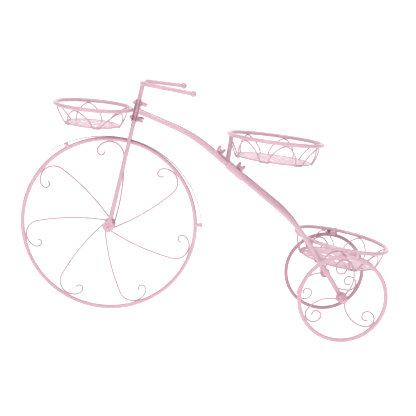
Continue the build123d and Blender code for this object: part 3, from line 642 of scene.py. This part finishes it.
# Frame: two bent tubes, each in a front and a rear half that plug together
# under a collar, tied by two welded cross straps, with flat eyes at the rear
# axles. The far tubes stand in shade and are painted deeper.
front_run_joint = joints["middle_front_nut_turn"]
rear_run_joint = joints["middle_rear_nut_turn"]
front_run_seat = Vector(front_run_joint["pos_m"])
rear_run_seat = Vector(rear_run_joint["pos_m"])
run_up = Vector(front_run_joint["axis"]).normalized()
run_down = (rear_run_seat - front_run_seat).normalized()
plate_middle = (rear_run_seat + front_run_seat) / 2
plate_along = 102.6 * mm
plate_half_pitch = 29.8 * mm
plate_over_run = 8.6 * mm
tube_radius = 5.5 * mm
collar_radius = 8 * mm
narrow_half = 20 * mm
half_width_gain = 48 * mm
run_length = 309.153 * mm
run_spread = half_width_gain / run_length
strap_weld_places = ((tube_radius - 0.4 * mm, 0.62), (2.4 * mm, 0.98))
strap_bead = (9 * mm, 1.7 * mm, 1.3 * mm)
collar_welds = ((0.3 * mm, 7.6 * mm), (44.6 * mm, 6.9 * mm))
collar_weld_count = 22
collar_bead = (1.5 * mm, 0.9 * mm, 1.1 * mm)


def on_run(along, above=0, side=0):
    start = plate_middle - run_up * plate_over_run - run_down * plate_along
    return start + run_down * along + run_up * above + across * side


def run_half_width(along):
    return narrow_half + run_spread * along


def way_of_tube(side):
    return (run_down + across * side * run_spread).normalized()


tube_paint = painted("tube_paint", (0.667, 0.414, 0.498), (0.564, 0.32, 0.404), 0.18, 18, 0.12)
deep_tube_paint = painted("deep_tube_paint", (0.545, 0.31, 0.385), (0.432, 0.226, 0.301), 0.2, 18, 0.12)
beads = bmesh.new()
for along, strap_side in (
        (plate_along - plate_half_pitch, tube_radius),
        (plate_along + plate_half_pitch, collar_radius)):
    for side in (-1, 1):
        for above, inwards_share in strap_weld_places:
            half = run_half_width(along) - strap_side * inwards_share
            lay_bead(beads, on_run(along, above, side * half), way_of_tube(side), run_up, strap_bead)
for side in (-1, 1):
    for past_plate, radius in collar_welds:
        along = plate_along + past_plate
        collar_end = on_run(along, 0, side * run_half_width(along))
        ring_of_beads(beads, collar_end, way_of_tube(side), radius, collar_weld_count, collar_bead)
settle(beads, "frame_welds", weld_glint_paint)
finish_nodes(["front_frame_tube_near", "rear_frame_tube_near"], tube_paint)
finish_nodes(["front_frame_tube_far", "rear_frame_tube_far"], deep_tube_paint)
# The cross straps take the darker head paint as painted shade around the plate.
finish_nodes(["front_cross_strap", "rear_cross_strap"], head_paint)

# Middle plate and post: a thick flat bolted over both cross straps, with a
# tapered post welded to it that carries the middle basket.
middle_stack = 6.1 * mm
post_before_middle = 3.8 * mm
post_foot_lift = 0.4 * mm
post_foot_radius = 6.6 * mm
post_foot_count = 18
post_foot_bead = (1.7 * mm, 1.2 * mm, 1.1 * mm)
post_top_inside = 4.75 * mm
post_top_drop = 0.2 * mm
post_top_radius = 4.3 * mm
post_top_count = 14
post_top_bead = (1.5 * mm, 1.1 * mm, 1.3 * mm)
# The middle plate is painted darker than the tubes as painted shade under and along it.
shaded_plate_paint = painted("shaded_plate_paint", (0.489, 0.273, 0.348), (0.376, 0.188, 0.263), 0.24, 45, 0.15)
bolt = bmesh.new()
for joint in (front_run_joint, rear_run_joint):
    bolt_behind(bolt, joint, middle_stack, **clamp_bolt)
    cast_wing_nut(joint, run_down, **clamp_nut)
settled = settle(bolt, "middle_socket_bolts", fastener_paint)
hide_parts("middle_bolts")
beads = bmesh.new()
post_foot = on_run(plate_along - post_before_middle, plate_over_run + post_foot_lift)
ring_of_beads(beads, post_foot, run_up, post_foot_radius, post_foot_count, post_foot_bead)
low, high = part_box("middle_post")
post_top = Vector((high[0] - post_top_inside, 0, high[2] - post_top_drop))
ring_of_beads(beads, post_top, Vector((0, 0, 1)), post_top_radius, post_top_count, post_top_bead)
settle(beads, "post_welds", weld_glint_paint)
finish_nodes(["middle_plate"], shaded_plate_paint)
finish_nodes(["middle_post"], tube_paint)

# Rear wheels: two small hoops of the same bar, each with three scrolled
# wires, on turned hubs that a socket bolt and a nut hold to the frame's eyes.
# The far wheel stands in shade and is painted deeper.
rear_rim_radius = 97 * mm
rear_root_turn = 15
rear_seam_angle = -110
rear_seam_swell = 1.08
rear_bolt_seat = 92.9 * mm
rear_bolt_length = 33.1 * mm
rear_nut_seat = 119 * mm
rear_nut_height = 5 * mm
shaded_paint = painted("shaded_paint", (0.47, 0.244, 0.32), (0.357, 0.16, 0.235), 0.22, 22, 0.15)
beads = bmesh.new()
for end, paint, touches in (
        ("near", rim_paint, (-147.0, -36.0, 94.0)),
        ("far", shaded_paint, (-126.0, -22.0, 106.0))):
    hub = middle_of("rear_wheel_rim_" + end)
    for touch in touches:
        weld_scroll(beads, hub, rear_rim_radius - wheel_bar_radius, touch, touch - rear_root_turn)
    close_seam(beads, hub, rear_rim_radius, rear_seam_angle, rear_seam_swell)
    finish_nodes(["rear_wheel_rim_" + end, "rear_hub_" + end], paint)
    finish_nodes(["rear_spokes_" + end], scroll_paint)
settle(beads, "rear_wheel_welds", rim_paint)
bolt = bmesh.new()
nut = bmesh.new()
for side, end in ((-1, "near"), (1, "far")):
    hub = middle_of("rear_hub_" + end)
    way = across * side
    inner = Vector((hub.x, side * rear_bolt_seat, hub.z))
    socket_bolt(bolt, inner, way, axle_stock, axle_head, axle_head_height, rear_bolt_length, axle_thread)
    outer = Vector((hub.x, side * rear_nut_seat, hub.z))
    six_sided_nut(nut, outer, way, axle_stock, axle_flats, rear_nut_height)
settled = settle(bolt, "rear_axle_socket_bolts", fastener_paint)
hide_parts("rear_axle_bolts")
settled = settle(nut, "rear_axle_hex_nuts", fastener_paint)
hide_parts("rear_axle_nuts")

# Baskets: a rolled bar rim and a wire ring joined by pointed wire arches,
# tacked at every crown and foot, round a stamped and pierced floor sheet.
basket_bar_radius = 4.5 * mm
basket_wire_radius = 1.5 * mm
crown_lie = radians(65)
foot_lie = radians(35)
crown_bead = (4 * mm, 1.6 * mm, 1.5 * mm)
foot_bead = (3.2 * mm, 1.3 * mm, 1.2 * mm)
floor_tacks = 6
first_tack = 20
wire_paint = painted("wire_paint", (0.564, 0.329, 0.404), (0.451, 0.244, 0.32), 0.24, 60, 0.1)
basket_paint = painted("basket_paint", (0.649, 0.395, 0.479), (0.536, 0.301, 0.385), 0.2, 26, 0.14)
floor_paint = painted("floor_paint", (0.705, 0.432, 0.526), (0.63, 0.367, 0.461), 0.3, 34, 0.2)


def tack(work, angle, reach, height, facing, sizes):
    at = Vector((reach * cos(angle), reach * sin(angle), height))
    lay_bead(work, at, Vector((-sin(angle), cos(angle), 0)), Vector((0, 0, facing)), sizes)


for basket, rim_radius, ring_radius, depth, arches, first, pitch, lean in (
        ("front", 85 * mm, 59 * mm, 41 * mm, 5, -109.5, 1.3, 4.1),
        ("middle", 107.5 * mm, 87 * mm, 45.8 * mm, 7, -135.0, 2.2, 0),
        ("rear", 107.5 * mm, 87 * mm, 45.8 * mm, 7, -104.0, 5.9, 0)):
    frame_of = (
        Matrix.Translation(middle_of(basket + "_basket_rim"))
        @ Matrix.Rotation(radians(pitch), 4, "Y") @ Matrix.Rotation(radians(lean), 4, "X"))
    crown_reach = rim_radius - basket_bar_radius * cos(crown_lie)
    crown_height = -basket_bar_radius * sin(crown_lie)
    foot_reach = ring_radius + basket_wire_radius * cos(foot_lie)
    foot_height = -depth - basket_wire_radius * sin(foot_lie)
    beads = bmesh.new()
    for number in range(arches):
        crown_angle = radians(first + number * 360 / arches)
        tack(beads, crown_angle, crown_reach, crown_height, -1, crown_bead)
        foot_angle = radians(first + (number + 0.5) * 360 / arches)
        tack(beads, foot_angle, foot_reach, foot_height, -1, foot_bead)
    for number in range(floor_tacks):
        tack_angle = radians(first_tack + number * 360 / floor_tacks)
        tack(beads, tack_angle, ring_radius - basket_wire_radius, -depth, 1, foot_bead)
    bmesh.ops.transform(beads, matrix=frame_of, verts=beads.verts)
    settle(beads, basket + "_basket_welds", wire_paint)
    finish_nodes([basket + "_basket_rim"], basket_paint)
    finish_nodes([basket + "_basket_base_ring", basket + "_basket_hoops"], wire_paint)
    finish_nodes([basket + "_basket_floor"], floor_paint)

# Side clamps: on each side a bolt, a washer and an outer plate grip the
# wheel top and the basket rim, drawn up by a small cast wing nut.
side_stack = 13.666 * mm
side_stock = 4 * mm
side_bolt = {
    "stock": side_stock, "head": 7.5 * mm, "head_height": 3 * mm, "past_seat": 6.8 * mm,
    "thread": 6 * mm}
side_nut = {
    "stock": side_stock, "hub": 8.5 * mm, "hub_height": 4.5 * mm, "span": 18 * mm,
    "height": 11.5 * mm, "thickness": 2.6 * mm, "tip": 3.2 * mm, "root": 2.6 * mm}
bolt = bmesh.new()
for end, wings in (("near", Vector((1, 0, 0))), ("far", Vector((0, 0, 1)))):
    joint = joints["side_" + end + "_nut_turn"]
    bolt_behind(bolt, joint, side_stack, **side_bolt)
    cast_wing_nut(joint, wings, **side_nut)
settled = settle(bolt, "side_socket_bolts", fastener_paint)
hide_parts("side_bolts")
finish_nodes(["side_plates", "side_washers"], fastener_paint)
